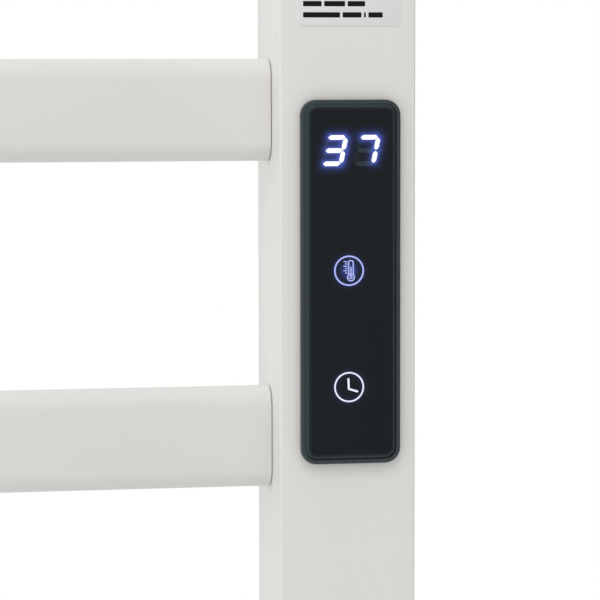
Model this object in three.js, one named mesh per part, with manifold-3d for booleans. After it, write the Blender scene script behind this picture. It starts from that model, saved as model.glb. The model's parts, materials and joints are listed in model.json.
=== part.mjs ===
// Wall-hung electric towel rail: two square uprights, eight flat rungs, a touch control in the
// right-hand upright, a heating cable threaded through every tube, and four wall brackets whose
// posts slide in their cups to set the distance from the wall.
//
// Frame: millimetres. X runs to the right of a person facing the rail, Y runs into the wall and
// Z runs up. The wall is the plane Y = 0 and the origin is the middle of the four brackets.

import * as THREE from 'three';
import { mergeVertices } from 'three/addons/utils/BufferGeometryUtils.js';
import Module from 'manifold-3d';

const wasm = await Module();
wasm.setup();

// ---- driving dimensions -----------------------------------------------------------------

const CLEAR_SPAN = 440;

const UPRIGHT_SIDE = 40;
const UPRIGHT_WALL = 1.5;
const UPRIGHT_EDGE = 1.2;
const TUBE_INNER_CORNER = 0.4;

const RUNG_COUNT = 8;
const RUNG_PITCH = 96.6;
const RUNG_FROM_END = 61.9;
const RUNG_HEIGHT = 30;
const RUNG_DEPTH = 12;
const RUNG_WALL = 1.2;
const RUNG_SEAM = 0.35;

const PLUG_LENGTH = 14;
const SPIGOT_REACH = 2.5;
const SPIGOT_ROOT = 1; // how far the spigot is sunk into the plug that carries it

const CABLE_RADIUS = 2.5;
const CABLE_BEND = 8;
const CABLE_ROOM = 0.7;

const CAP_PLATE = 2;
const CAP_PLUG = 10;
const CAP_PLUG_WALL = 1.6;

const WALL_DISTANCE = 38;
const DEPTH_TRAVEL = 12; // how far the rail can be drawn out from where it is set
const POST_RADIUS = 10;
const POST_FLANGE_RADIUS = 13;
const POST_FLANGE = 3;
const STUD_RADIUS = 4;
const STUD_REACH = 6;
const CUP_FLANGE_RADIUS = 18;
const CUP_FLANGE = 3.5;
const CUP_FLOOR = 4.5;
const POST_GRIP = 9.2; // length of post still in the cup at the end of the depth travel
const CUP_WALL = 2.75;
const CUP_SCREW_RADIUS = 2.75;
const CUP_SCREW_HEAD = 5;
const GRUB_RADIUS = 2.2;
const GRUB_LENGTH = 4;
const GRUB_INSET = 4.5;
const GRUB_SOCKET_RADIUS = 1.3;
const GRUB_SOCKET_DEPTH = 2;
const GRUB_CHAMFER = 0.5;
const TURNED_CHAMFER = 1; // on the edges of cups, posts and the earth screw

const CONTROL_WIDTH = 29.3;
const CONTROL_HEIGHT = 105.7;
const CONTROL_CORNER = 4.5;
const CONTROL_RIGHT = 0.4;
const CONTROL_BELOW_RUNG = 49.7;
const CONTROL_UNDER_RUNG = 3;
const RIM_WIDTH = 1.1;
const RIM_PROUD = 2.5;
const COVER_PROUD = 3.7;
const COVER_BEVEL = 1.7;
const COVER_BEVEL_RISE = 1.3;
const COVER_SETTLE = 0.15; // the cover sits this far up and to the left in its recess
const GASKET = 0.6;
const LEDGE = 0.8;
const BOX_SIDE_ROOM = 2.65;
const BOX_END_ROOM = 7.6;
const BOX_DEPTH = 15;
const BOX_WALL = 1.2;
const BOX_CORNER = 1.5;
const WINDOW_CORNER = 2;
const WIRE_SLOT_WIDTH = 10;
const WIRE_SLOT_HEIGHT = 5;

const DISPLAY_SIDE_ROOM = 1.3;
const DISPLAY_HEIGHT = 10.6;
const DISPLAY_DEPTH = 6;
const DISPLAY_FROM_TOP = 14.6;
const BOARD_THICKNESS = 1.2;
const BOARD_CORNER = 1;
const UPPER_KEY_FROM_TOP = 49.3;
const LOWER_KEY_FROM_BOTTOM = 22.4;
const KEY_SPRING_RADIUS = 3.4;
const KEY_SPRING_WIRE = 0.4;
const KEY_SPRING_TURNS = 3;
const RELAY_WIDTH = 12.5;
const RELAY_HEIGHT = 20;
const RELAY_DEPTH = 5;
const RELAY_FROM_BOTTOM = 34;
const TERMINAL_WIDTH = 18;
const TERMINAL_HEIGHT = 28;
const TERMINAL_DEPTH = 9;
const TERMINAL_ENTRY = 4;
const TERMINAL_SCREW_RADIUS = 1.8;
const TERMINAL_SCREW_WELL = 2;
const LEAD_STRAIGHT = 10;
const LEAD_STEP_IN = 12;
const LEAD_FROM_WALL = 1.5;

const SENSOR_RADIUS = 2.2;
const SENSOR_LENGTH = 16;
const SENSOR_ABOVE_CONTROL = 76;
const CUTOUT_WIDTH = 7.5;
const CUTOUT_DEPTH = 4;
const CUTOUT_LENGTH = 20;
const CUTOUT_BELOW_CONTROL = 78;

const LABEL_WIDTH = 30.4;
const LABEL_HEIGHT = 42;
const LABEL_THICKNESS = 0.25;
const LABEL_CORNER = 2;
const LABEL_RIGHT = 0.25;
const LABEL_ABOVE_CONTROL = 21.1;

const EARTH_HEAD_RADIUS = 3.8;
const EARTH_HEAD = 2.4;
const EARTH_SHANK_RADIUS = 1.9;
const EARTH_SHANK = 8;
const EARTH_BELOW_CONTROL = 66;

const GLAND_THREAD_RADIUS = 6;
const GLAND_BORE_RADIUS = 3.4;
const GLAND_HEAD_RADIUS = 8.5;
const GLAND_HEAD = 4;
const GLAND_DOME = 9;
const GLAND_DOME_RADIUS = 7.5;
const GLAND_DOME_TAPER = 3;
const GLAND_THREAD_ABOVE = 8;
const LOCKNUT_FLATS = 16;
const LOCKNUT = 3.5;

const SEAT = 0.1; // gap between faces that bear on each other
const CLEARANCE = 0.3; // gap round what passes through or fits inside a neighbour
const ROUND_SIDES = 20;
const SMALL_SIDES = 12;

// ---- sizes worked out from them ---------------------------------------------------------

const uprightX = (CLEAR_SPAN + UPRIGHT_SIDE) / 2;
const backY = -WALL_DISTANCE;
const frontY = backY - UPRIGHT_SIDE;
const middleY = (frontY + backY) / 2;
const railHeight = (RUNG_COUNT - 1) * RUNG_PITCH + 2 * RUNG_FROM_END;
const tubeLength = railHeight - 2 * (CAP_PLATE + SEAT);
const boreSide = UPRIGHT_SIDE - 2 * UPRIGHT_WALL;
const rungZ = (index) => (index - (RUNG_COUNT - 1) / 2) * RUNG_PITCH;
const bracketZ = (rungZ(RUNG_COUNT - 1) + rungZ(RUNG_COUNT - 2)) / 2;
const spigotRadius = RUNG_DEPTH / 2 - RUNG_WALL - CLEARANCE;
const spigotEnd = RUNG_SEAM + UPRIGHT_WALL + SPIGOT_REACH;
const controlX = uprightX + CONTROL_RIGHT;
const controlZ = rungZ(CONTROL_UNDER_RUNG) - CONTROL_BELOW_RUNG;
const controlTop = CONTROL_HEIGHT / 2;
const boxWidth = CONTROL_WIDTH - 2 * BOX_SIDE_ROOM;
const boxHeight = CONTROL_HEIGHT - 2 * BOX_END_ROOM;
const boxInnerWidth = boxWidth - 2 * BOX_WALL;
const boxInnerHeight = boxHeight - 2 * BOX_WALL;
const linkLane = CLEAR_SPAN / 2 + spigotEnd + CABLE_BEND;
const leadLane = uprightX + boreSide / 2 - LEAD_FROM_WALL - 2 * CABLE_RADIUS;
const cupDepth = CUP_FLOOR + CLEARANCE + DEPTH_TRAVEL + POST_GRIP;
const grubDistance = cupDepth - GRUB_INSET;

// ---- materials --------------------------------------------------------------------------

const finish = (color, roughness, metalness) => () =>
  new THREE.MeshStandardMaterial({ color, roughness, metalness });

const powderCoat = finish(0xe9e8e4, 0.55, 0);
const whitePlastic = finish(0xe4e3df, 0.5, 0);
const blackPlastic = finish(0x24282a, 0.35, 0);
const glossCover = finish(0x17191b, 0.12, 0);
const darkRubber = finish(0x1c1c1c, 0.8, 0);
const zincSteel = finish(0xb9bcc0, 0.35, 1);
const stainless = finish(0xcfd2d6, 0.25, 1);
const boardGreen = finish(0x1f5a35, 0.5, 0);
const nylonCream = finish(0xe8e0c8, 0.5, 0);
const relayBlue = finish(0x2c5fa8, 0.4, 0);
const silicone = finish(0xb5452f, 0.6, 0);
const paperLabel = finish(0xdcdcdc, 0.4, 0);
const brass = finish(0xc9a85a, 0.3, 1);

// ---- geometry helpers -------------------------------------------------------------------

function trace(path, width, height, corner) {
  const x = width / 2;
  const y = height / 2;
  const r = Math.min(corner, x, y);
  path.moveTo(-x + r, -y);
  path.lineTo(x - r, -y);
  path.absarc(x - r, -y + r, r, -Math.PI / 2, 0);
  path.lineTo(x, y - r);
  path.absarc(x - r, y - r, r, 0, Math.PI / 2);
  path.lineTo(-x + r, y);
  path.absarc(-x + r, y - r, r, Math.PI / 2, Math.PI);
  path.lineTo(-x, -y + r);
  path.absarc(-x + r, -y + r, r, Math.PI, 1.5 * Math.PI);
  return path;
}

const roundedRectangle = (width, height, corner) =>
  trace(new THREE.Shape(), width, height, corner);

function frameShape(width, height, corner, wall) {
  const shape = roundedRectangle(width, height, corner);
  const inner = Math.max(corner - wall, TUBE_INNER_CORNER);
  shape.holes.push(trace(new THREE.Path(), width - 2 * wall, height - 2 * wall, inner));
  return shape;
}

// Each quarter turn of a shape's corner gets twice curveSegments facets.
const extrude = (shape, depth, curveSegments = 1) =>
  new THREE.ExtrudeGeometry(shape, { depth, curveSegments, bevelEnabled: false });

// A shape drawn on (Y, Z) and pushed along X.
const ALONG_X = new THREE.Matrix4().makeBasis(
  new THREE.Vector3(0, 1, 0),
  new THREE.Vector3(0, 0, 1),
  new THREE.Vector3(1, 0, 0),
);

// A shape drawn on (X, Z) and pushed towards the user, along -Y.
const TO_USER = new THREE.Matrix4().makeBasis(
  new THREE.Vector3(1, 0, 0),
  new THREE.Vector3(0, 0, 1),
  new THREE.Vector3(0, -1, 0),
);

const cylinder = (radius, length, sides = SMALL_SIDES) =>
  new THREE.CylinderGeometry(radius, radius, length, sides);
const cylinderX = (radius, length, sides) => cylinder(radius, length, sides).rotateZ(Math.PI / 2);
const cylinderZ = (radius, length, sides) => cylinder(radius, length, sides).rotateX(Math.PI / 2);

// Plates and boxes that face the user, from the depth `from` to the depth `to`, both measured
// behind the upright's front face and so negative where they stand proud of it.
const plate = (shape, from, to, curveSegments) =>
  extrude(shape, to - from, curveSegments).applyMatrix4(TO_USER).translate(0, to, 0);
const block = (width, height, from, to) =>
  new THREE.BoxGeometry(width, to - from, height).translate(0, (from + to) / 2, 0);

const profile = (points) => points.map(([radius, along]) => new THREE.Vector2(radius, along));
const lathe = (points, sides = ROUND_SIDES) => new THREE.LatheGeometry(profile(points), sides);

function toSolid(geometry) {
  const bare = geometry.clone();
  bare.deleteAttribute('normal');
  bare.deleteAttribute('uv');
  const merged = mergeVertices(bare, 1e-4);
  const mesh = new wasm.Mesh({
    numProp: 3,
    vertProperties: new Float32Array(merged.attributes.position.array),
    triVerts: new Uint32Array(merged.index.array),
  });
  return new wasm.Manifold(mesh);
}

function toGeometry(solid) {
  const mesh = solid.getMesh();
  const geometry = new THREE.BufferGeometry();
  geometry.setAttribute('position', new THREE.BufferAttribute(mesh.vertProperties, 3));
  geometry.setIndex(new THREE.BufferAttribute(mesh.triVerts, 1));
  geometry.computeVertexNormals();
  return geometry;
}

function combine(base, { add = [], cut = [] }) {
  let solid = toSolid(base);
  for (const piece of add) solid = solid.add(toSolid(piece));
  for (const piece of cut) solid = solid.subtract(toSolid(piece));
  return toGeometry(solid);
}

function piece(name, geometry, material, x = 0, y = 0, z = 0) {
  const mesh = new THREE.Mesh(geometry, material());
  mesh.name = name;
  mesh.position.set(x, y, z);
  return mesh;
}

// A route through corner points, with each corner rounded, that is sampled at its own points.
class Route extends THREE.Curve {
  constructor(corners, bend, stepsPerBend) {
    super();
    this.points = Route.rounded(corners, bend, stepsPerBend);
  }

  static rounded(corners, bend, steps) {
    const points = [corners[0]];
    for (let i = 1; i < corners.length - 1; i += 1) {
      const here = corners[i];
      const back = corners[i - 1].clone().sub(here);
      const ahead = corners[i + 1].clone().sub(here);
      const turn = back.angleTo(ahead);
      const wanted = bend / Math.tan(turn / 2);
      const reach = Math.min(wanted, back.length() / 2, ahead.length() / 2);
      const start = here.clone().addScaledVector(back.normalize(), reach);
      const end = here.clone().addScaledVector(ahead.normalize(), reach);
      const arc = new THREE.QuadraticBezierCurve3(start, here, end);
      points.push(...arc.getPoints(steps));
    }
    points.push(corners[corners.length - 1]);
    return points;
  }

  getUtoTmapping(u) {
    return u;
  }

  getPoint(t, target = new THREE.Vector3()) {
    const place = t * (this.points.length - 1);
    const index = Math.min(Math.floor(place), this.points.length - 2);
    return target.lerpVectors(this.points[index], this.points[index + 1], place - index);
  }
}

// ---- uprights and caps ------------------------------------------------------------------

function upright(name, side) {
  const section = frameShape(UPRIGHT_SIDE, UPRIGHT_SIDE, UPRIGHT_EDGE, UPRIGHT_WALL);
  const tube = extrude(section, tubeLength).translate(0, 0, -tubeLength / 2);
  const cut = [];
  for (let i = 0; i < RUNG_COUNT; i += 1) {
    const hole = cylinderX(spigotRadius + CLEARANCE, 3 * UPRIGHT_WALL);
    cut.push(hole.translate((-side * (UPRIGHT_SIDE - UPRIGHT_WALL)) / 2, 0, rungZ(i)));
  }
  for (const z of [-bracketZ, bracketZ]) {
    const hole = cylinder(STUD_RADIUS + CLEARANCE, 3 * UPRIGHT_WALL);
    cut.push(hole.translate(0, (UPRIGHT_SIDE - UPRIGHT_WALL) / 2, z));
  }
  if (side > 0) {
    const width = boxWidth + 2 * CLEARANCE;
    const window = roundedRectangle(width, boxHeight + 2 * CLEARANCE, WINDOW_CORNER);
    const opening = plate(window, -UPRIGHT_WALL, 2 * UPRIGHT_WALL);
    cut.push(opening.translate(CONTROL_RIGHT, -UPRIGHT_SIDE / 2, controlZ));
    const earth = cylinder(EARTH_SHANK_RADIUS + CLEARANCE, 3 * UPRIGHT_WALL);
    const earthZ = controlZ - EARTH_BELOW_CONTROL;
    cut.push(earth.translate(0, (UPRIGHT_SIDE - UPRIGHT_WALL) / 2, earthZ));
  }
  return piece(name, combine(tube, { cut }), powderCoat, side * uprightX, middleY, 0);
}

function endCap(name, side, end, hasGland) {
  const face = roundedRectangle(UPRIGHT_SIDE, UPRIGHT_SIDE, UPRIGHT_EDGE);
  const plugSide = boreSide - 2 * CLEARANCE;
  const plug = frameShape(plugSide, plugSide, UPRIGHT_EDGE, CAP_PLUG_WALL);
  const plugFrom = CAP_PLATE / 2;
  const add = [extrude(plug, CAP_PLUG + CAP_PLATE - plugFrom).translate(0, 0, plugFrom)];
  const hole = cylinderZ(GLAND_THREAD_RADIUS + CLEARANCE, 3 * CAP_PLATE, ROUND_SIDES);
  const cut = hasGland ? [hole] : [];
  const geometry = combine(extrude(face, CAP_PLATE), { add, cut });
  if (end > 0) geometry.rotateX(Math.PI);
  return piece(name, geometry, whitePlastic, side * uprightX, middleY, (end * railHeight) / 2);
}

// ---- rungs and their connectors ---------------------------------------------------------

function rung(index) {
  const length = CLEAR_SPAN - 2 * RUNG_SEAM;
  const section = frameShape(RUNG_DEPTH, RUNG_HEIGHT, RUNG_DEPTH / 2, RUNG_WALL);
  const geometry = extrude(section, length, 2).applyMatrix4(ALONG_X);
  return piece(`rung_${index + 1}`, geometry, powderCoat, -length / 2, middleY, rungZ(index));
}

function connector(name, side, index) {
  const inset = 2 * (RUNG_WALL + CLEARANCE);
  const plugShape = roundedRectangle(RUNG_DEPTH - inset, RUNG_HEIGHT - inset, RUNG_DEPTH / 2);
  const plug = extrude(plugShape, PLUG_LENGTH).applyMatrix4(ALONG_X);
  const spigotLength = SPIGOT_ROOT + spigotEnd;
  const spigot = cylinderX(spigotRadius, spigotLength);
  spigot.translate(PLUG_LENGTH - SPIGOT_ROOT + spigotLength / 2, 0, 0);
  const boreLength = 2 * (PLUG_LENGTH + spigotEnd);
  const bore = cylinderX(CABLE_RADIUS + CABLE_ROOM, boreLength).translate(PLUG_LENGTH, 0, 0);
  const geometry = combine(plug, { add: [spigot], cut: [bore] });
  geometry.translate(-PLUG_LENGTH - RUNG_SEAM, 0, 0);
  if (side < 0) geometry.rotateZ(Math.PI);
  const x = (side * CLEAR_SPAN) / 2;
  return piece(name, geometry, nylonCream, x, middleY, rungZ(index));
}

// ---- wall brackets ----------------------------------------------------------------------

function wallCup(name, x, z) {
  const boreRadius = POST_RADIUS + CLEARANCE;
  const cupRadius = boreRadius + CUP_WALL;
  const cup = lathe([
    [CUP_SCREW_RADIUS, 0],
    [CUP_FLANGE_RADIUS, 0],
    [CUP_FLANGE_RADIUS, CUP_FLANGE - TURNED_CHAMFER],
    [CUP_FLANGE_RADIUS - TURNED_CHAMFER, CUP_FLANGE],
    [cupRadius, CUP_FLANGE],
    [cupRadius, cupDepth],
    [boreRadius, cupDepth],
    [boreRadius, CUP_FLOOR],
    [CUP_SCREW_HEAD, CUP_FLOOR],
    [CUP_SCREW_RADIUS, CUP_FLOOR + CUP_SCREW_RADIUS - CUP_SCREW_HEAD],
    [CUP_SCREW_RADIUS, 0],
  ]).rotateX(Math.PI);
  const tapped = cylinderZ(GRUB_RADIUS + CLEARANCE, 4 * CUP_WALL);
  tapped.translate(0, -grubDistance, -boreRadius - CUP_WALL / 2);
  return piece(name, combine(cup, { cut: [tapped] }), stainless, x, 0, z);
}

function post(name, x, z) {
  const tip = CUP_FLOOR + CLEARANCE;
  const flangeFrom = WALL_DISTANCE - SEAT - POST_FLANGE;
  const flangeTo = WALL_DISTANCE - SEAT;
  const stud = WALL_DISTANCE + UPRIGHT_WALL + STUD_REACH;
  const geometry = lathe([
    [0, tip],
    [POST_RADIUS - TURNED_CHAMFER, tip],
    [POST_RADIUS, tip + TURNED_CHAMFER],
    [POST_RADIUS, flangeFrom],
    [POST_FLANGE_RADIUS - TURNED_CHAMFER, flangeFrom],
    [POST_FLANGE_RADIUS, flangeFrom + TURNED_CHAMFER],
    [POST_FLANGE_RADIUS, flangeTo],
    [STUD_RADIUS, flangeTo],
    [STUD_RADIUS, stud],
    [0, stud],
  ]).rotateX(Math.PI);
  return piece(name, geometry, stainless, x, 0, z);
}

function grubScrew(name, x, z) {
  const inner = POST_RADIUS + CLEARANCE / 2;
  const outer = inner + GRUB_LENGTH;
  const geometry = lathe(
    [
      [0, inner],
      [GRUB_RADIUS - GRUB_CHAMFER, inner],
      [GRUB_RADIUS, inner + GRUB_CHAMFER],
      [GRUB_RADIUS, outer],
      [GRUB_SOCKET_RADIUS, outer],
      [GRUB_SOCKET_RADIUS, outer - GRUB_SOCKET_DEPTH],
      [0, outer - GRUB_SOCKET_DEPTH],
    ],
    SMALL_SIDES,
  ).rotateX(-Math.PI / 2);
  return piece(name, geometry, zincSteel, x, -grubDistance, z);
}

// ---- the touch control, drawn about its own middle on the upright's front face ----------

const ledgeDepth = -GASKET - SEAT - LEDGE;
const displayBack = DISPLAY_DEPTH + SEAT;
const boardBack = displayBack + SEAT + BOARD_THICKNESS;

function housing() {
  const outer = roundedRectangle(CONTROL_WIDTH, CONTROL_HEIGHT, CONTROL_CORNER);
  const rim = plate(outer, -RIM_PROUD, -GASKET - SEAT, 3);
  const seat = roundedRectangle(
    CONTROL_WIDTH - 2 * RIM_WIDTH,
    CONTROL_HEIGHT - 2 * RIM_WIDTH,
    CONTROL_CORNER - RIM_WIDTH,
  );
  const recess = plate(seat, -2 * RIM_PROUD, ledgeDepth, 3);
  const box = plate(roundedRectangle(boxWidth, boxHeight, BOX_CORNER), ledgeDepth, BOX_DEPTH);
  const hollow = block(boxInnerWidth, boxInnerHeight, -2 * RIM_PROUD, BOX_DEPTH - BOX_WALL);
  const slot = block(WIRE_SLOT_WIDTH, WIRE_SLOT_HEIGHT, BOX_DEPTH - 2 * BOX_WALL, BOX_DEPTH + BOX_WALL);
  slot.translate(0, 0, 2 * WIRE_SLOT_HEIGHT - boxHeight / 2);
  const geometry = combine(rim, { add: [box], cut: [recess, hollow, slot] });
  return piece('control_housing', geometry, blackPlastic);
}

function gasket() {
  const shape = roundedRectangle(
    CONTROL_WIDTH - 2 * RIM_WIDTH,
    CONTROL_HEIGHT - 2 * RIM_WIDTH,
    CONTROL_CORNER - RIM_WIDTH,
  );
  const width = boxWidth + 2 * CLEARANCE;
  const height = boxHeight + 2 * CLEARANCE;
  const sheet = plate(shape, -GASKET, -SEAT, 2);
  const opening = plate(roundedRectangle(width, height, WINDOW_CORNER), -2 * GASKET, 2 * GASKET);
  return piece('control_gasket', combine(sheet, { cut: [opening] }), darkRubber);
}

function touchCover() {
  const inset = 2 * (RIM_WIDTH + CLEARANCE);
  const corner = CONTROL_CORNER - RIM_WIDTH - CLEARANCE;
  const shape = roundedRectangle(CONTROL_WIDTH - inset, CONTROL_HEIGHT - inset, corner);
  const back = ledgeDepth - SEAT;
  const thickness = COVER_PROUD + back;
  const slab = new THREE.ExtrudeGeometry(shape, {
    depth: 2 * thickness,
    curveSegments: 3,
    bevelThickness: COVER_BEVEL_RISE,
    bevelSize: COVER_BEVEL,
    bevelOffset: -COVER_BEVEL,
    bevelSegments: 2,
  });
  slab.applyMatrix4(TO_USER);
  slab.translate(0, 2 * thickness + COVER_BEVEL_RISE - COVER_PROUD, 0);
  const behind = block(2 * CONTROL_WIDTH, 2 * CONTROL_HEIGHT, back, back + 4 * thickness);
  const geometry = combine(slab, { cut: [behind] });
  return piece('touch_cover', geometry, glossCover, -COVER_SETTLE, 0, COVER_SETTLE);
}

function digitDisplay() {
  const width = boxInnerWidth - 2 * DISPLAY_SIDE_ROOM;
  const geometry = block(width, DISPLAY_HEIGHT, SEAT, displayBack);
  return piece('digit_display', geometry, blackPlastic, 0, 0, controlTop - DISPLAY_FROM_TOP);
}

function circuitBoard() {
  const width = boxInnerWidth - 2 * CLEARANCE;
  const shape = roundedRectangle(width, boxInnerHeight - 2 * CLEARANCE, BOARD_CORNER);
  const geometry = plate(shape, displayBack + SEAT, boardBack);
  return piece('circuit_board', geometry, boardGreen);
}

function keySpring(name, z) {
  const from = ledgeDepth + CLEARANCE;
  const to = displayBack - CLEARANCE;
  const wire = new THREE.Shape().absarc(0, 0, KEY_SPRING_WIRE, 0, 2 * Math.PI);
  const stepsPerTurn = 10;
  const steps = KEY_SPRING_TURNS * stepsPerTurn;
  const points = [];
  for (let i = 0; i <= steps; i += 1) {
    const angle = (2 * Math.PI * i) / stepsPerTurn;
    const along = from + ((to - from) * i) / steps;
    const x = KEY_SPRING_RADIUS * Math.cos(angle);
    points.push(new THREE.Vector3(x, along, KEY_SPRING_RADIUS * Math.sin(angle)));
  }
  const extrudePath = new THREE.CatmullRomCurve3(points);
  const geometry = new THREE.ExtrudeGeometry(wire, { steps, extrudePath, curveSegments: 2 });
  return piece(name, geometry, brass, 0, 0, z);
}

function relay() {
  const from = boardBack + SEAT;
  const geometry = block(RELAY_WIDTH, RELAY_HEIGHT, from, from + RELAY_DEPTH);
  return piece('relay', geometry, relayBlue, 0, 0, RELAY_FROM_BOTTOM - controlTop);
}

function terminalBlock() {
  const from = BOX_DEPTH + CLEARANCE;
  const to = from + TERMINAL_DEPTH;
  const body = block(TERMINAL_WIDTH, TERMINAL_HEIGHT, from, to);
  const cut = [];
  for (const x of [-TERMINAL_ENTRY, TERMINAL_ENTRY]) {
    for (const z of [-TERMINAL_HEIGHT / 4, TERMINAL_HEIGHT / 4]) {
      cut.push(cylinder(TERMINAL_SCREW_RADIUS, 2 * TERMINAL_SCREW_WELL).translate(x, to, z));
    }
  }
  return piece('terminal_block', combine(body, { cut }), nylonCream);
}

// ---- heating cable, sensor and cut-out --------------------------------------------------

function heatingCable() {
  const corners = [];
  const at = (x, y, z) => corners.push(new THREE.Vector3(x, y, z));
  const terminalY = frontY + BOX_DEPTH + CLEARANCE + TERMINAL_DEPTH / 2;
  const terminalX = controlX + TERMINAL_ENTRY;
  const entry = TERMINAL_HEIGHT / 2 + CLEARANCE;
  const bendIn = entry + LEAD_STRAIGHT;
  const bendOut = bendIn + LEAD_STEP_IN;
  const besideBox = boxHeight / 2 + CABLE_BEND;
  const lead = (end) => [
    [terminalX, terminalY, controlZ + end * entry],
    [terminalX, terminalY, controlZ + end * bendIn],
    [leadLane, terminalY, controlZ + end * bendOut],
    [leadLane, terminalY, controlZ + end * besideBox],
    [leadLane, middleY, controlZ + end * (besideBox + 2 * CABLE_BEND)],
  ];
  lead(1).forEach((point) => at(...point));
  let lane = leadLane;
  for (let i = RUNG_COUNT - 1; i >= 0; i -= 1) {
    const side = (RUNG_COUNT - 1 - i) % 2 === 0 ? 1 : -1;
    at(side * lane, middleY, rungZ(i));
    lane = linkLane;
    const isLast = i === 0;
    at(-side * (isLast ? leadLane : linkLane), middleY, rungZ(i));
  }
  lead(-1).reverse().forEach((point) => at(...point));
  const route = new Route(corners, CABLE_BEND, 3);
  const section = new THREE.Shape().absarc(0, 0, CABLE_RADIUS, 0, 2 * Math.PI);
  const geometry = new THREE.ExtrudeGeometry(section, {
    steps: route.points.length - 1,
    curveSegments: 4,
    extrudePath: route,
  });
  return piece('heating_cable', geometry, silicone);
}

const sideRoom = (linkLane + leadLane) / 2;

function temperatureSensor() {
  const end = SENSOR_RADIUS / 2;
  const geometry = lathe(
    [
      [0, 0],
      [SENSOR_RADIUS - end, 0],
      [SENSOR_RADIUS, end],
      [SENSOR_RADIUS, SENSOR_LENGTH - end],
      [SENSOR_RADIUS - end, SENSOR_LENGTH],
      [0, SENSOR_LENGTH],
    ],
    SMALL_SIDES,
  ).rotateX(Math.PI / 2);
  const z = controlZ + SENSOR_ABOVE_CONTROL;
  return piece('temperature_sensor', geometry, stainless, sideRoom, middleY, z);
}

function thermalCutout() {
  const geometry = new THREE.BoxGeometry(CUTOUT_WIDTH, CUTOUT_DEPTH, CUTOUT_LENGTH);
  const z = controlZ - CUTOUT_BELOW_CONTROL;
  return piece('thermal_cutout', geometry, whitePlastic, sideRoom, middleY, z);
}

// ---- label, earth screw and cable gland -------------------------------------------------

function ratingLabel() {
  const shape = roundedRectangle(LABEL_WIDTH, LABEL_HEIGHT, LABEL_CORNER);
  const geometry = plate(shape, -SEAT - LABEL_THICKNESS, -SEAT);
  const z = controlTop + LABEL_ABOVE_CONTROL + LABEL_HEIGHT / 2;
  return piece('rating_label', geometry, paperLabel, LABEL_RIGHT - CONTROL_RIGHT, 0, z);
}

function earthScrew() {
  const geometry = lathe(
    [
      [0, -EARTH_HEAD],
      [EARTH_HEAD_RADIUS - TURNED_CHAMFER, -EARTH_HEAD],
      [EARTH_HEAD_RADIUS, TURNED_CHAMFER - EARTH_HEAD],
      [EARTH_HEAD_RADIUS, 0],
      [EARTH_SHANK_RADIUS, 0],
      [EARTH_SHANK_RADIUS, EARTH_SHANK],
      [0, EARTH_SHANK],
    ],
    SMALL_SIDES,
  ).rotateX(Math.PI);
  const z = controlZ - EARTH_BELOW_CONTROL;
  return piece('earth_screw', geometry, brass, uprightX, backY + SEAT, z);
}

function cableGland() {
  const underside = -SEAT;
  const headFrom = underside - GLAND_HEAD;
  const domeFrom = headFrom - GLAND_DOME;
  const threadTo = CAP_PLATE + GLAND_THREAD_ABOVE;
  const geometry = lathe([
    [GLAND_BORE_RADIUS, domeFrom],
    [GLAND_THREAD_RADIUS, domeFrom],
    [GLAND_DOME_RADIUS, domeFrom + GLAND_DOME_TAPER],
    [GLAND_DOME_RADIUS, headFrom],
    [GLAND_HEAD_RADIUS, headFrom],
    [GLAND_HEAD_RADIUS, underside],
    [GLAND_THREAD_RADIUS, underside],
    [GLAND_THREAD_RADIUS, threadTo],
    [GLAND_BORE_RADIUS, threadTo],
    [GLAND_BORE_RADIUS, domeFrom],
  ]).rotateX(Math.PI / 2);
  return piece('cable_gland', geometry, whitePlastic, uprightX, middleY, -railHeight / 2);
}

function glandLocknut() {
  const hexagon = new THREE.CylinderGeometry(
    LOCKNUT_FLATS / Math.sqrt(3),
    LOCKNUT_FLATS / Math.sqrt(3),
    LOCKNUT,
    6,
  ).rotateX(Math.PI / 2);
  const bore = cylinderZ(GLAND_THREAD_RADIUS + SEAT, 2 * LOCKNUT, ROUND_SIDES);
  const z = -railHeight / 2 + CAP_PLATE + SEAT + LOCKNUT / 2;
  return piece('gland_locknut', combine(hexagon, { cut: [bore] }), whitePlastic, uprightX, middleY, z);
}

// ---- assembly ---------------------------------------------------------------------------

const SIDES = [
  ['left', -1],
  ['right', 1],
];
const ENDS = [
  ['bottom', -1],
  ['top', 1],
];

function brackets() {
  const group = new THREE.Group();
  for (const [sideName, side] of SIDES) {
    for (const [endName, end] of ENDS) {
      const place = `${endName}_${sideName}`;
      const x = side * uprightX;
      const z = end * bracketZ;
      group.add(wallCup(`wall_cup_${place}`, x, z));
      group.add(post(`bracket_post_${place}`, x, z));
      group.add(grubScrew(`grub_screw_${place}`, x, z));
    }
  }
  return group;
}

function ladder() {
  const group = new THREE.Group();
  for (const [sideName, side] of SIDES) {
    group.add(upright(`upright_${sideName}`, side));
    for (const [endName, end] of ENDS) {
      const hasGland = side > 0 && end < 0;
      group.add(endCap(`end_cap_${endName}_${sideName}`, side, end, hasGland));
    }
    for (let i = 0; i < RUNG_COUNT; i += 1) {
      group.add(connector(`connector_${sideName}_${i + 1}`, side, i));
    }
  }
  for (let i = 0; i < RUNG_COUNT; i += 1) group.add(rung(i));
  return group;
}

function control() {
  const group = new THREE.Group();
  group.position.set(controlX, frontY, controlZ);
  group.add(housing(), gasket(), touchCover(), digitDisplay(), circuitBoard());
  group.add(keySpring('upper_key_spring', controlTop - UPPER_KEY_FROM_TOP));
  group.add(keySpring('lower_key_spring', LOWER_KEY_FROM_BOTTOM - controlTop));
  group.add(relay(), terminalBlock(), ratingLabel());
  return group;
}

const towelRail = new THREE.Group();
towelRail.add(brackets(), ladder(), control());
towelRail.add(heatingCable(), temperatureSensor(), thermalCutout());
towelRail.add(earthScrew(), cableGland(), glandLocknut());

export default towelRail;
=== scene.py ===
import json
import math

import bpy
from mathutils import Matrix, Vector

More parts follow.
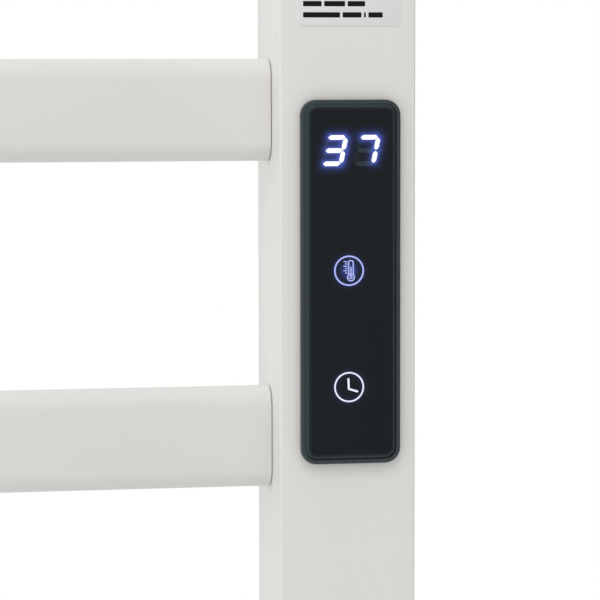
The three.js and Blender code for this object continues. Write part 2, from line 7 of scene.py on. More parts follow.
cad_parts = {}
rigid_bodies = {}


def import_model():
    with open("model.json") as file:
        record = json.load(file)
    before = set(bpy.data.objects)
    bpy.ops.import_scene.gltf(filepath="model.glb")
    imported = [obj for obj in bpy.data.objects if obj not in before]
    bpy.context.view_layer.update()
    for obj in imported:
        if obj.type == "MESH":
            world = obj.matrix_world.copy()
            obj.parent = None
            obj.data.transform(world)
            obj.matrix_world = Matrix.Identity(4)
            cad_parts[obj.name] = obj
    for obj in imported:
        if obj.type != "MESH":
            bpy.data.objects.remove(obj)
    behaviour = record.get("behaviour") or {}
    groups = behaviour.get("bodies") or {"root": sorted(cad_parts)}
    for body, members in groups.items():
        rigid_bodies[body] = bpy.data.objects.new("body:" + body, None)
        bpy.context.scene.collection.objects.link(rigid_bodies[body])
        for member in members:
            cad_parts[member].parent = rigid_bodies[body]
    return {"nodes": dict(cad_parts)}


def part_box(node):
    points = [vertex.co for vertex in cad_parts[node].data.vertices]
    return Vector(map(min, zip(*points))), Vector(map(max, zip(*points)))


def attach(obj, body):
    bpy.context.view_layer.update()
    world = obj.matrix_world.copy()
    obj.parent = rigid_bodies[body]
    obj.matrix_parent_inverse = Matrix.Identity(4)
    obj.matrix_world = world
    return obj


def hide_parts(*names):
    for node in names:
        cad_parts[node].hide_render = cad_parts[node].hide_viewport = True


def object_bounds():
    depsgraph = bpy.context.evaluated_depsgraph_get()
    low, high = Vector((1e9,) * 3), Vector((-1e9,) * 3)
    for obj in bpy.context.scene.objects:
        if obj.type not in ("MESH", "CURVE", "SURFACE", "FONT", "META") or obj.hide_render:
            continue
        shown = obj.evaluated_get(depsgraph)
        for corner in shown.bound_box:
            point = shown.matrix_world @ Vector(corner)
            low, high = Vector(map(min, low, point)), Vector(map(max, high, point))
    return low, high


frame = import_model()
cad_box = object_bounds()

MM = 0.001

# ---- places and sizes, in metres, from the frame ----

SIDES = ("left", "right")
UPRIGHT = {side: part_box(f"upright_{side}") for side in SIDES}
FACE_Y = UPRIGHT["right"][0].y
BACK_Y = UPRIGHT["right"][1].y
MIDDLE_Y = (FACE_Y + BACK_Y) / 2
CONTROL_LOW, CONTROL_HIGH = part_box("control_housing")
COVER_LOW, COVER_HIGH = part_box("touch_cover")
CONTROL_MIDDLE = (CONTROL_LOW + CONTROL_HIGH) / 2
CONTROL_MIDDLE.y = FACE_Y
RUNGS = sorted(name for name in frame["nodes"] if name.startswith("rung_"))
CORNERS = [f"{end}_{side}" for end in ("bottom", "top") for side in SIDES]

UPRIGHT_WALL = 1.5 * MM
UPRIGHT_EDGE = 0.7 * MM
RUNG_WALL = 1.2 * MM
RUNG_REACH = 0.15 * MM
RUNG_ENDS = 0.18 * MM
SPIGOT_HOLE = 4.8 * MM
STUD_HOLE = 4.3 * MM
EARTH_HOLE = 2.2 * MM
FIT = 0.3 * MM

# Depths in the control are measured behind the upright's front face.
CONTROL_CORNER = 4.5 * MM
RIM_WIDTH = 1.2 * MM
RIM_ROUNDING = 0.3 * MM
RIM_BACK = -0.7 * MM
LEDGE_DEPTH = -1.5 * MM
BOX_SIDE_ROOM = 2.65 * MM
BOX_END_ROOM = 7.6 * MM
BOX_DEPTH = 15 * MM
BOX_WALL = 1.2 * MM
WINDOW_CORNER = 2 * MM
WIRE_SLOT = Vector((10, 4.8, 5)) * MM
WIRE_SLOT_CORNER = 1 * MM
WIRE_SLOT_UP = 10 * MM
COVER_CORNER = 3.1 * MM
PILLOW_WIDTH = 1.85 * MM
PILLOW_RISE = 1.3 * MM
PILLOW_START = 30
PILLOW_STEPS = 10


# ---- modelling helpers ----

def deselect():
    for obj in bpy.context.view_layer.objects:
        obj.select_set(False)


def activate(piece):
    deselect()
    piece.select_set(True)
    bpy.context.view_layer.objects.active = piece


def settle(name):
    """Names the primitive that was just added and puts its place into its mesh."""
    piece = bpy.context.object
    piece.name = name
    piece.data.name = name
    bpy.ops.object.transform_apply(location=True, rotation=True, scale=True)
    return piece


def add_block(name, low, high):
    deselect()
    low, high = Vector(low), Vector(high)
    bpy.ops.mesh.primitive_cube_add(size=1, location=(low + high) / 2, scale=high - low)
    return settle(name)


def pick(piece, kind, chosen):
    """Opens edit mode on the piece with only the chosen faces or edges selected."""
    activate(piece)
    mesh = piece.data
    for group in (mesh.vertices, mesh.edges, mesh.polygons):
        group.foreach_set("select", [False] * len(group))
    group = mesh.polygons if kind == "FACE" else mesh.edges
    for item in group:
        item.select = chosen(item)
    bpy.ops.object.mode_set(mode="EDIT")
    bpy.ops.mesh.select_mode(type=kind)


def done():
    bpy.ops.object.mode_set(mode="OBJECT")


def faces(piece, chosen):
    pick(piece, "FACE", chosen)


def edges(piece, chosen):
    """chosen takes an edge's two ends."""
    points = piece.data.vertices
    pick(piece, "EDGE", lambda edge: chosen(*(points[i].co for i in edge.vertices)))


def same(a, b, room=1e-5):
    return abs(a - b) < room


def facing_user(piece, y):
    faces(piece, lambda face: face.normal.y < -0.99 and same(face.center.y, y))


def facing_wall(piece, y):
    faces(piece, lambda face: face.normal.y > 0.99 and same(face.center.y, y))


def push(y):
    """Extrudes the selected faces along Y."""
    bpy.ops.mesh.extrude_region_move(TRANSFORM_OT_translate={"value": (0, y, 0)})


def lift(z):
    """Extrudes the selected faces along Z."""
    bpy.ops.mesh.extrude_region_move(TRANSFORM_OT_translate={"value": (0, 0, z)})


def step_in(ratio, middle):
    """Leaves a flat ring round the selected level face, which shrinks towards its middle."""
    lift(0)
    bpy.ops.transform.resize(value=(ratio, ratio, 1), center_override=middle)


def stretch(x, z):
    bpy.ops.transform.resize(value=(x, 1, z), center_override=CONTROL_MIDDLE)


def apply_modifiers(piece):
    activate(piece)
    for modifier in list(piece.modifiers):
        bpy.ops.object.modifier_apply(modifier=modifier.name)


def smooth(piece, angle=40):
    activate(piece)
    bpy.ops.object.shade_smooth_by_angle(angle=math.radians(angle))
    return piece


def rounded(piece, width, segments=3, angle=40):
    modifier = piece.modifiers.new("edge", "BEVEL")
    modifier.width = width
    modifier.segments = segments
    modifier.limit_method = "ANGLE"
    modifier.angle_limit = math.radians(angle)
    modifier.harden_normals = False
    apply_modifiers(piece)
    return piece


def joined(name, pieces):
    activate(pieces[0])
    for piece in pieces[1:]:
        piece.select_set(True)
    if len(pieces) > 1:
        bpy.ops.object.join()
    pieces[0].name = name
    pieces[0].data.name = name
    return pieces[0]


def boolean(piece, others, operation):
    for other in others:
        modifier = piece.modifiers.new("boolean", "BOOLEAN")
        modifier.operation = operation
        modifier.solver = "EXACT"
        modifier.object = other
    apply_modifiers(piece)
    for other in others:
        bpy.data.objects.remove(other)
    return piece


def cut_away(piece, *cutters):
    return boolean(piece, cutters, "DIFFERENCE")


def welded(piece, *others):
    return boolean(piece, others, "UNION")


def outward(piece):
    faces(piece, lambda face: True)
    bpy.ops.mesh.normals_make_consistent(inside=False)
    done()
    return piece


def turned(name, steps, sides=48, through=False):
    """A round piece about the Z axis, drawn out of a disc by (radius, height) steps in mm."""
    deselect()
    radius, height = steps[0]
    bpy.ops.mesh.primitive_circle_add(
        vertices=sides, radius=radius * MM, fill_type="NGON", location=(0, 0, height * MM)
    )
    piece = settle(name)
    faces(piece, lambda face: True)
    for next_radius, next_height in steps[1:]:
        lift((next_height - height) * MM)
        ratio = next_radius / radius
        bpy.ops.transform.resize(value=(ratio, ratio, 1), center_override=(0, 0, next_height * MM))
        radius, height = next_radius, next_height
    done()
    if through:
        faces(piece, lambda face: len(face.vertices) == sides)
        bpy.ops.mesh.delete(type="ONLY_FACE")
        bpy.ops.mesh.select_mode(type="EDGE")
        bpy.ops.mesh.select_non_manifold()
        bpy.ops.mesh.bridge_edge_loops()
        done()
    return outward(piece)


def threaded(radius, depth, start, end, pitch):
    """Steps for a screw thread, drawn as plain rings."""
    rings = max(1, round(abs(end - start) / pitch))
    step = (end - start) / rings
    steps = []
    for ring in range(rings):
        steps.append((radius - depth, start + ring * step))
        steps.append((radius, start + (ring + 0.5) * step))
    steps.append((radius - depth, end))
    return steps


TO_USER = Matrix.Rotation(math.radians(90), 4, "X")
TO_WALL = Matrix.Rotation(math.radians(-90), 4, "X")
TO_RIGHT = Matrix.Rotation(math.radians(90), 4, "Y")


def placed(piece, place, turn=Matrix()):
    piece.data.transform(Matrix.Translation(place) @ turn)
    return piece


def rod(place, radius, length, turn=Matrix(), sides=40):
    """A plain round cutter, centred on its place."""
    half = length / MM / 2
    return placed(turned("rod", [(radius / MM, -half), (radius / MM, half)], sides), place, turn)


def copy_of(piece, name, matrix):
    twin = piece.copy()
    twin.data = piece.data.copy()
    twin.name = name
    twin.data.name = name
    twin.data.transform(matrix)
    if matrix.to_3x3().determinant() < 0:
        twin.data.flip_normals()
    bpy.context.scene.collection.objects.link(twin)
    return twin


def finish_piece(piece, body, material, replaces=()):
    piece.data.materials.clear()
    piece.data.materials.append(material)
    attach(piece, body)
    if replaces:
        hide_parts(*replaces)
    return piece


# ---- materials ----

COVER_BLACK = (0.0112, 0.0134, 0.0160)
# Painted sheen: the lighter blue-green given to the cover's pillowed edge where it catches the light.
COVER_EDGE_SHEEN = (0.040, 0.060, 0.064)
UNLIT_GREY = (0.030, 0.048, 0.052)


def new_material(name, colour, roughness, metallic=0.0, **sockets):
    material = bpy.data.materials.new(name)
    material.use_nodes = True
    shader = material.node_tree.nodes["Principled BSDF"]
    shader.inputs["Base Color"].default_value = (*colour, 1)
    shader.inputs["Roughness"].default_value = roughness
    shader.inputs["Metallic"].default_value = metallic
    for socket, value in sockets.items():
        shader.inputs[socket.replace("_", " ")].default_value = value
    return material


def node(owner, kind, **settings):
    """Adds a node to a material or a world."""
    made = owner.node_tree.nodes.new(kind)
    for key, value in settings.items():
        setattr(made, key, value)
    return made


def link(owner, output, target):
    owner.node_tree.links.new(output, target)


def shader_of(material):
    return material.node_tree.nodes["Principled BSDF"]


def noise(material, scale, detail=3.0, stretched=(1, 1, 1)):
    place = node(material, "ShaderNodeTexCoord")
    mapping = node(material, "ShaderNodeMapping")
    mapping.inputs["Scale"].default_value = stretched
    made = node(material, "ShaderNodeTexNoise")
    made.inputs["Scale"].default_value = scale
    made.inputs["Detail"].default_value = detail
    link(material, place.outputs["Object"], mapping.inputs["Vector"])
    link(material, mapping.outputs["Vector"], made.inputs["Vector"])
    return made


def add_bump(material, scale, height, detail=3.0, stretched=(1, 1, 1)):
    grain = noise(material, scale, detail, stretched)
    bump = node(material, "ShaderNodeBump")
    bump.inputs["Strength"].default_value = 1.0
    bump.inputs["Distance"].default_value = height
    link(material, grain.outputs["Fac"], bump.inputs["Height"])
    link(material, bump.outputs["Normal"], shader_of(material).inputs["Normal"])


def ramp_of(material, source, dark, light, start=0.35, end=0.65):
    ramp = node(material, "ShaderNodeValToRGB")
    ramp.color_ramp.elements[0].position = start
    ramp.color_ramp.elements[0].color = (*dark, 1)
    ramp.color_ramp.elements[1].position = end
    ramp.color_ramp.elements[1].color = (*light, 1)
    link(material, source, ramp.inputs["Fac"])
    return ramp.outputs["Color"]


def add_variation(material, scale, dark, light):
    colour = ramp_of(material, noise(material, scale, 5.0).outputs["Fac"], dark, light)
    link(material, colour, shader_of(material).inputs["Base Color"])


def shades(colour, spread):
    return [tuple(part * factor for part in colour) for factor in (1 - spread, 1 + spread)]


def powder_coat():
    """Warm white baked powder: faintly mottled, with a fine orange peel."""
    colour = (0.8, 0.79, 0.765)
    material = new_material("powder_coat", colour, 0.42, Specular_IOR_Level=0.35)
    add_variation(material, 9.0, *shades(colour, 0.006))
    add_bump(material, 900.0, 0.012 * MM)
    return material


def moulded(name, colour, roughness, spread=0.04, **sockets):
    """Injection-moulded plastic or rubber with a fine spark-eroded grain."""
    material = new_material(name, colour, roughness, **sockets)
    add_variation(material, 60.0, *shades(colour, spread))
    add_bump(material, 1400.0, 0.01 * MM)
    return material


def turned_metal(name, colour, roughness, stretched):
    """Bright metal with fine tool marks across the direction in which it was turned."""
    material = new_material(name, colour, roughness, 1.0)
    add_variation(material, 120.0, *shades(colour, 0.05))
    add_bump(material, 900.0, 0.006 * MM, 2.0, stretched)
    return material


def smoked_cover():
    """Near-black smoked acrylic, with a painted sheen: its pillowed edge is coloured a lighter
    blue-green where the edge catches the light.
    """
    material = new_material("smoked_cover", COVER_BLACK, 0.16, Specular_IOR_Level=0.1)
    place = node(material, "ShaderNodeTexCoord")
    parts = node(material, "ShaderNodeSeparateXYZ")
    # Painted sheen: the colour turns from the flat's black to the lighter edge colour down the
    # pillow's sides.
    depth = node(material, "ShaderNodeMapRange")
    depth.inputs["From Min"].default_value = COVER_LOW.y
    depth.inputs["From Max"].default_value = COVER_LOW.y + 0.55 * PILLOW_RISE
    link(material, place.outputs["Object"], parts.inputs["Vector"])
    link(material, parts.outputs["Y"], depth.inputs["Value"])
    colour = ramp_of(material, depth.outputs["Result"], COVER_BLACK, COVER_EDGE_SHEEN, 0.0, 1.0)
    link(material, colour, shader_of(material).inputs["Base Color"])
    return material


def glowing(name, colour, strength=1.0):
    """A printed light window: dark film, lit from behind."""
    material = new_material(name, (0.02, 0.02, 0.022), 0.3, Specular_IOR_Level=0.1)
    shader = shader_of(material)
    grain = noise(material, 700.0, 1.0)
    bright = ramp_of(material, grain.outputs["Fac"], *shades(colour, 0.03))
    link(material, bright, shader.inputs["Emission Color"])
    shader.inputs["Emission Strength"].default_value = strength
    return material


def light_spread(name, near, middling, far):
    """The cover's black with blue light in it, as strong as the surface's glow value says.

    Unlit bars show through it in grey-green, where the surface's unlit value says so."""
    material = new_material(name, COVER_BLACK, 0.16, Specular_IOR_Level=0.1)
    shader = shader_of(material)
    glow = node(material, "ShaderNodeAttribute", attribute_name="glow")
    ramp = node(material, "ShaderNodeValToRGB")
    stops = ramp.color_ramp.elements
    stops[0].color = (0, 0, 0, 1)
    stops[1].color = (*near, 1)
    stops.new(0.35).color = (*far, 1)
    stops.new(0.6).color = (*middling, 1)
    link(material, glow.outputs["Fac"], ramp.inputs["Fac"])
    link(material, ramp.outputs["Color"], shader.inputs["Emission Color"])
    shader.inputs["Emission Strength"].default_value = 1.0
    unlit = node(material, "ShaderNodeAttribute", attribute_name="unlit")
    colour = ramp_of(material, unlit.outputs["Fac"], COVER_BLACK, UNLIT_GREY, 0.0, 1.0)
    link(material, colour, shader.inputs["Base Color"])
    return material


def circuit_green():
    """Green solder mask with the copper tracks showing through it as lighter lines."""
    material = new_material("circuit_green", (0.02, 0.12, 0.05), 0.35)
    place = node(material, "ShaderNodeTexCoord")
    tracks = node(material, "ShaderNodeTexBrick")
    tracks.inputs["Scale"].default_value = 260.0
    tracks.inputs["Mortar Size"].default_value = 0.035
    tracks.inputs["Color1"].default_value = (0.016, 0.10, 0.042, 1)
    tracks.inputs["Color2"].default_value = (0.02, 0.13, 0.055, 1)
    tracks.inputs["Mortar"].default_value = (0.06, 0.26, 0.11, 1)
    mapping = node(material, "ShaderNodeMapping")
    mapping.inputs["Rotation"].default_value = (math.radians(90), 0, 0)
    link(material, place.outputs["Object"], mapping.inputs["Vector"])
    link(material, mapping.outputs["Vector"], tracks.inputs["Vector"])
    link(material, tracks.outputs["Color"], shader_of(material).inputs["Base Color"])
    add_bump(material, 1200.0, 0.006 * MM)
    return material


COAT = powder_coat()
CAP_PLASTIC = moulded("cap_plastic", (0.79, 0.78, 0.755), 0.5, 0.006)
HOUSING_PLASTIC = moulded("housing_plastic", (0.032, 0.045, 0.048), 0.34, Specular_IOR_Level=0.4)
COVER = smoked_cover()
LABEL_FILM = moulded("label_film", (0.80, 0.80, 0.80), 0.35, 0.01, Specular_IOR_Level=0.3)
LABEL_INK = moulded("label_ink", (0.008, 0.008, 0.008), 0.5, Specular_IOR_Level=0.1)
MODULE_BLACK = moulded("module_black", (0.012, 0.012, 0.013), 0.5)
SEAL_RUBBER = moulded("seal_rubber", (0.015, 0.015, 0.015), 0.8)
NYLON = moulded("nylon", (0.72, 0.66, 0.5), 0.45)
RELAY_BLUE = moulded("relay_case", (0.02, 0.09, 0.33), 0.35)
SILICONE = moulded("silicone_sheath", (0.42, 0.055, 0.03), 0.55, 0.08)
CIRCUIT_GREEN = circuit_green()
STAINLESS = turned_metal("stainless", (0.62, 0.62, 0.61), 0.26, (1, 9, 1))
ZINC = turned_metal("zinc_plate", (0.55, 0.57, 0.6), 0.32, (1, 1, 6))
BRASS = turned_metal("brass_finish", (0.72, 0.5, 0.2), 0.3, (1, 1, 6))
DIGIT_LIGHT = glowing("digit_light", (1.0, 1.0, 1.0), 1.1)
THERMOMETER_LIGHT = glowing("thermometer_light", (0.44, 0.49, 1.0))
CLOCK_LIGHT = glowing("clock_light", (0.84, 0.86, 1.0))
DIGIT_SPREAD = light_spread(
    "digit_spread", near=(0.045, 0.075, 0.40), middling=(0.037, 0.055, 0.29), far=(0.020, 0.031, 0.145)
)
ICON_SPREAD = light_spread(
    "icon_spread", near=(0.014, 0.026, 0.14), middling=(0.008, 0.015, 0.07), far=(0.004, 0.008, 0.03)
)


# ---- uprights and rungs ----

def tube_shell(tube, wall, is_end):
    """Opens a solid bar's two ends and gives it its wall, inwards."""
    faces(tube, is_end)
    bpy.ops.mesh.delete(type="FACE")
    done()
    shell = tube.modifiers.new("wall", "SOLIDIFY")
    shell.thickness = wall
    shell.offset = -1
    apply_modifiers(tube)


def make_upright(side):
    low, high = UPRIGHT[side]
    middle_x = (low.x + high.x) / 2
    tube = add_block(f"coated_upright_{side}", low, high)
    edges(tube, lambda a, b: same(a.x, b.x) and same(a.y, b.y))
    bpy.ops.mesh.bevel(offset=UPRIGHT_EDGE, segments=5)
    done()
    tube_shell(tube, UPRIGHT_WALL, lambda face: abs(face.normal.z) > 0.9)
    inner_x = high.x if side == "left" else low.x
    through_wall = 4 * UPRIGHT_WALL
    holes = []
    for name in RUNGS:
        rung_low, rung_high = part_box(name)
        place = (inner_x, MIDDLE_Y, (rung_low.z + rung_high.z) / 2)
        holes.append(rod(place, SPIGOT_HOLE, through_wall, TO_RIGHT, 24))
    for end in ("bottom", "top"):
        post_low, post_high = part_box(f"bracket_post_{end}_{side}")
        place = (middle_x, BACK_Y, (post_low.z + post_high.z) / 2)
        holes.append(rod(place, STUD_HOLE, through_wall, TO_USER, 24))
    if side == "right":
        earth_low, earth_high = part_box("earth_screw")
        place = (middle_x, BACK_Y, (earth_low.z + earth_high.z) / 2)
        holes.append(rod(place, EARTH_HOLE, through_wall, TO_USER, 24))
        room = Vector((BOX_SIDE_ROOM - FIT, 0, BOX_END_ROOM - FIT))
        window_low = CONTROL_LOW + room
        window_high = CONTROL_HIGH - room
        window_low.y = FACE_Y - UPRIGHT_WALL
        window_high.y = FACE_Y + 2 * UPRIGHT_WALL
        window = add_block("window", window_low, window_high)
        round_corners(window, WINDOW_CORNER, 6)
        holes.append(window)
    cut_away(tube, *holes)
    return smooth(tube)


def make_rung(name):
    low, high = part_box(name)
    reach = Vector((RUNG_REACH, 0, 0))
    tube = add_block(f"coated_{name}", low - reach, high + reach)
    radius = (high.y - low.y) / 2
    edges(tube, lambda a, b: same(a.y, b.y) and same(a.z, b.z))
    bpy.ops.mesh.bevel(offset=0.98 * radius, segments=12, clamp_overlap=True)
    done()
    tube_shell(tube, RUNG_WALL, lambda face: abs(face.normal.x) > 0.9)
    rounded(tube, RUNG_ENDS, 2, 60)
    return smooth(tube)


def round_corners(piece, radius, segments):
    """Rounds the four edges of a block that run towards the user."""
    edges(piece, lambda a, b: same(a.x, b.x) and same(a.z, b.z))
    bpy.ops.mesh.bevel(offset=radius, segments=segments)
    done()


def front_outline(piece, y):
    edges(piece, lambda a, b: same(a.y, y) and same(b.y, y))


for side in SIDES:
    finish_piece(make_upright(side), "rail", COAT, [f"upright_{side}"])

first_rung = finish_piece(make_rung(RUNGS[0]), "rail", COAT, [RUNGS[0]])
for name in RUNGS[1:]:
    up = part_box(name)[0].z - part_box(RUNGS[0])[0].z
    twin = copy_of(first_rung, f"coated_{name}", Matrix.Translation((0, 0, up)))
    finish_piece(twin, "rail", COAT, [name])


# ---- end caps, gland and locknut ----

CAP_PLATE = 2 * MM
CAP_EDGE = 0.7 * MM
CAP_PLUG_GAP = 1.8 * MM
CAP_PLUG_WALL = 1.6 * MM
CAP_PLUG = 10 * MM
# The share of the cap's face that lies inside the narrow ring where the edge's shading ends.
CAP_FLAT = 0.96
GLAND_HOLE = 6.3 * MM
GLAND_BORE = 3.4 * MM
LOCKNUT_HOLE = 6.1 * MM
HEXAGON_EDGE = 0.5 * MM


def make_cap(name):
    """A square plate with a hollow plug that presses into the tube above it."""
    low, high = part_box(name)
    cap = add_block(f"moulded_{name}", low, (high.x, high.y, low.z + CAP_PLATE))
    edges(cap, lambda a, b: same(a.x, b.x) and same(a.y, b.y))
    bpy.ops.mesh.bevel(offset=UPRIGHT_EDGE, segments=5)
    done()
    edges(cap, lambda a, b: same(a.z, low.z) and same(b.z, low.z))
    bpy.ops.mesh.bevel(offset=CAP_EDGE, segments=4)
    done()
    middle = (low + high) / 2
    faces(cap, lambda face: face.normal.z < -0.99)
    step_in(CAP_FLAT, middle)
    done()
    plate_side = high.x - low.x
    plug_side = plate_side - 2 * CAP_PLUG_GAP
    faces(cap, lambda face: face.normal.z > 0.9)
    step_in(plug_side / plate_side, middle)
    lift(CAP_PLUG)
    step_in(1 - 2 * CAP_PLUG_WALL / plug_side, middle)
    lift(-CAP_PLUG)
    done()
    return smooth(cap, 35)


def make_gland(low, high):
    """Hexagonal body, domed nut and threaded stem, with the seal's bore right through."""
    stem_top = (high.z - UPRIGHT_LOW_Z) / MM
    foot = (low.z - UPRIGHT_LOW_Z) / MM
    dome_top = foot + 9
    thread = threaded(6, 0.4, dome_top + 3.9, stem_top, 1.5)
    stem = turned("threaded_cable_gland", [(5.6, dome_top + 1), *thread], 40)
    body = turned("gland_body", [(8.4, dome_top), (8.4, dome_top + 4)], 6)
    rounded(body, HEXAGON_EDGE, 3, 30)
    dome_steps = [(6, foot), (7.1, foot + 1), (7.5, foot + 3), (7.5, dome_top + 0.5)]
    dome = turned("gland_dome", dome_steps, 12)
    rounded(dome, 0.35 * MM, 2, 20)
    welded(stem, body, dome)
    cut_away(stem, rod((0, 0, 0), GLAND_BORE, 80 * MM))
    return smooth(stem, 35)


def make_locknut(low, high):
    nut = turned("hexagonal_locknut", [(9.2, 0), (9.2, (high.z - low.z) / MM)], 6)
    rounded(nut, HEXAGON_EDGE, 3, 30)
    cut_away(nut, rod((0, 0, 0), LOCKNUT_HOLE, 20 * MM))
    return smooth(nut, 35)


UPRIGHT_LOW_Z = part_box("end_cap_bottom_right")[0].z
left_cap = make_cap("end_cap_bottom_left")
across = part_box("end_cap_bottom_right")[0].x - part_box("end_cap_bottom_left")[0].x
right_cap = copy_of(left_cap, "moulded_end_cap_bottom_right", Matrix.Translation((across, 0, 0)))
turned_over = Matrix.Scale(-1, 4, (0, 0, 1))
finish_piece(left_cap, "rail", CAP_PLASTIC, ["end_cap_bottom_left"])
for side, plain_cap in (("left", left_cap), ("right", right_cap)):
    name = f"end_cap_top_{side}"
    top_cap = copy_of(plain_cap, f"moulded_{name}", turned_over)
    finish_piece(top_cap, "rail", CAP_PLASTIC, [name])

gland_x = (UPRIGHT["right"][0].x + UPRIGHT["right"][1].x) / 2
GLAND_PLACE = Vector((gland_x, MIDDLE_Y, UPRIGHT_LOW_Z))
cut_away(right_cap, rod(GLAND_PLACE, GLAND_HOLE, 6 * CAP_PLATE))
smooth(right_cap, 35)
finish_piece(right_cap, "rail", CAP_PLASTIC, ["end_cap_bottom_right"])
gland = placed(make_gland(*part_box("cable_gland")), GLAND_PLACE)
finish_piece(gland, "rail", CAP_PLASTIC, ["cable_gland"])
nut_low, nut_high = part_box("gland_locknut")
locknut = placed(make_locknut(nut_low, nut_high), (gland_x, MIDDLE_Y, nut_low.z))
finish_piece(locknut, "rail", CAP_PLASTIC, ["gland_locknut"])


# ---- wall brackets ----

# Steps and distances in this section are in millimetres from the wall.
CUP_DEPTH = 26
GRUB_DISTANCE = 21.5
GRUB_SEAT_DOWN = 11.7
GRUB_HOLE = 2.5 * MM


def make_cup():
    """A cup with its flange on the wall and a countersunk hole in its floor."""
    flange = [(2.75, 0), (17.7, 0), (18, 0.3), (18, 2.5), (17.7, 3.1), (17, 3.5)]
    outside = [(13.35, 3.5), (13.05, 3.8), (13.05, CUP_DEPTH - 0.5), (12.6, CUP_DEPTH)]
    bore = [(10.7, CUP_DEPTH), (10.3, CUP_DEPTH - 0.4), (10.3, 4.5)]
    screw_hole = [(5, 4.5), (2.75, 2.25), (2.75, 0.4)]
    cup = turned("turned_cup", flange + outside + bore + screw_hole, 64, through=True)
    cup.data.transform(TO_USER)
    cut_away(cup, rod(Vector((0, -GRUB_DISTANCE, -GRUB_SEAT_DOWN)) * MM, GRUB_HOLE, 8 * MM))
    return smooth(cup, 30)


def make_post():
    """A round post with a flange against the upright and a threaded stud through its wall."""
    shank = [(9, 4.8), (10, 5.8), (10, 34.5), (10.3, 34.9), (12, 34.9), (12.7, 35.2), (13, 35.9)]
    flange = [(13, 37.6), (12.7, 37.9), (3.7, 37.9)]
    stud = threaded(4, 0.35, 38.4, 45.1, 1.25)
    post = turned("turned_post", shank + flange + stud + [(3.2, 45.5)], 64)
    post.data.transform(TO_USER)
    return smooth(post, 30)


def make_grub_screw():
    """A headless screw with a hexagonal socket, reached from below."""
    thread = [(radius, -height) for radius, height in threaded(2.2, 0.22, 10.55, 14.1, 0.6)]
    screw = turned("hexagon_grub_screw", [(1.7, -10.15), *thread, (1.9, -14.15)], 32)
    socket = turned("socket", [(1.3, -12.2), (1.3, -15)], 6)
    cut_away(screw, socket)
    screw.data.transform(Matrix.Translation((0, -GRUB_DISTANCE * MM, 0)))
    return smooth(screw, 30)


BRACKET_PIECES = (
    ("wall_cup", "turned_cup", make_cup(), "wall_fixings", "stainless", STAINLESS),
    ("bracket_post", "turned_post", make_post(), "rail", "stainless", STAINLESS),
    ("grub_screw", "hexagon_grub_screw", make_grub_screw(), "wall_fixings", "zinc_steel", ZINC),
)
for node_name, piece_name, pattern, body, slot, material in BRACKET_PIECES:
    for corner in CORNERS:
        low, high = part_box(f"wall_cup_{corner}")
        place = Matrix.Translation(((low.x + high.x) / 2, 0, (low.z + high.z) / 2))
        twin = copy_of(pattern, f"{piece_name}_{corner}", place)
        finish_piece(twin, body, material, [f"{node_name}_{corner}"])
    bpy.data.objects.remove(pattern)


def make_earth_screw():
    """A pan-headed screw with a cross recess."""
    head = [(2.6, -2.4), (3.4, -2.1), (3.8, -1.4), (3.8, -0.1), (1.7, 0)]
    screw = turned("pan_head_earth_screw", head + threaded(1.9, 0.2, 0.2, 7.9, 0.7), 40)
    for arm_x, arm_y in ((2.0, 0.35), (0.35, 2.0)):
        corner = Vector((arm_x, arm_y, 0.7)) * MM
        middle = Vector((0, 0, -2.4)) * MM
        cut_away(screw, rounded(add_block("recess", middle - corner, middle + corner), 0.1 * MM, 1))
    screw.data.transform(TO_USER)
    return smooth(screw, 30)


earth_low, earth_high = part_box("earth_screw")
earth_place = (gland_x, BACK_Y, (earth_low.z + earth_high.z) / 2)
finish_piece(
    placed(make_earth_screw(), earth_place, Matrix.Rotation(math.pi, 4, "Z")),
    "rail", BRASS, ["earth_screw"],
)


# ---- the control's housing and cover ----

def make_housing():
    """A rounded rim on the upright's face, with a box behind it that sinks into the tube."""
    height = CONTROL_HIGH.z - CONTROL_LOW.z
    box_height = height - 2 * BOX_END_ROOM
    back = FACE_Y + RIM_BACK
    housing = add_block("control_shell", CONTROL_LOW, (CONTROL_HIGH.x, back, CONTROL_HIGH.z))
    round_corners(housing, CONTROL_CORNER, 12)
    front_outline(housing, CONTROL_LOW.y)
    bpy.ops.mesh.bevel(offset=RIM_ROUNDING, segments=4)
    done()

    facing_user(housing, CONTROL_LOW.y)
    bpy.ops.mesh.inset(thickness=RIM_WIDTH - RIM_ROUNDING)
    push(FACE_Y + LEDGE_DEPTH - CONTROL_LOW.y)
    inner = BOX_SIDE_ROOM + BOX_WALL - RIM_WIDTH
    bpy.ops.mesh.inset(thickness=inner)
    stretch(1, (box_height - 2 * BOX_WALL) / (height - 2 * (RIM_WIDTH + inner)))
    push(BOX_DEPTH - BOX_WALL - LEDGE_DEPTH)
    done()

    facing_wall(housing, back)
    bpy.ops.mesh.inset(thickness=BOX_SIDE_ROOM)
    stretch(1, box_height / (height - 2 * BOX_SIDE_ROOM))
    push(BOX_DEPTH - RIM_BACK)
    done()

    slot_middle = CONTROL_MIDDLE + Vector((0, BOX_DEPTH, WIRE_SLOT_UP - box_height / 2))
    slot = add_block("wire_slot", slot_middle - WIRE_SLOT / 2, slot_middle + WIRE_SLOT / 2)
    round_corners(slot, WIRE_SLOT_CORNER, 4)
    cut_away(housing, slot)
    return smooth(housing, 35)


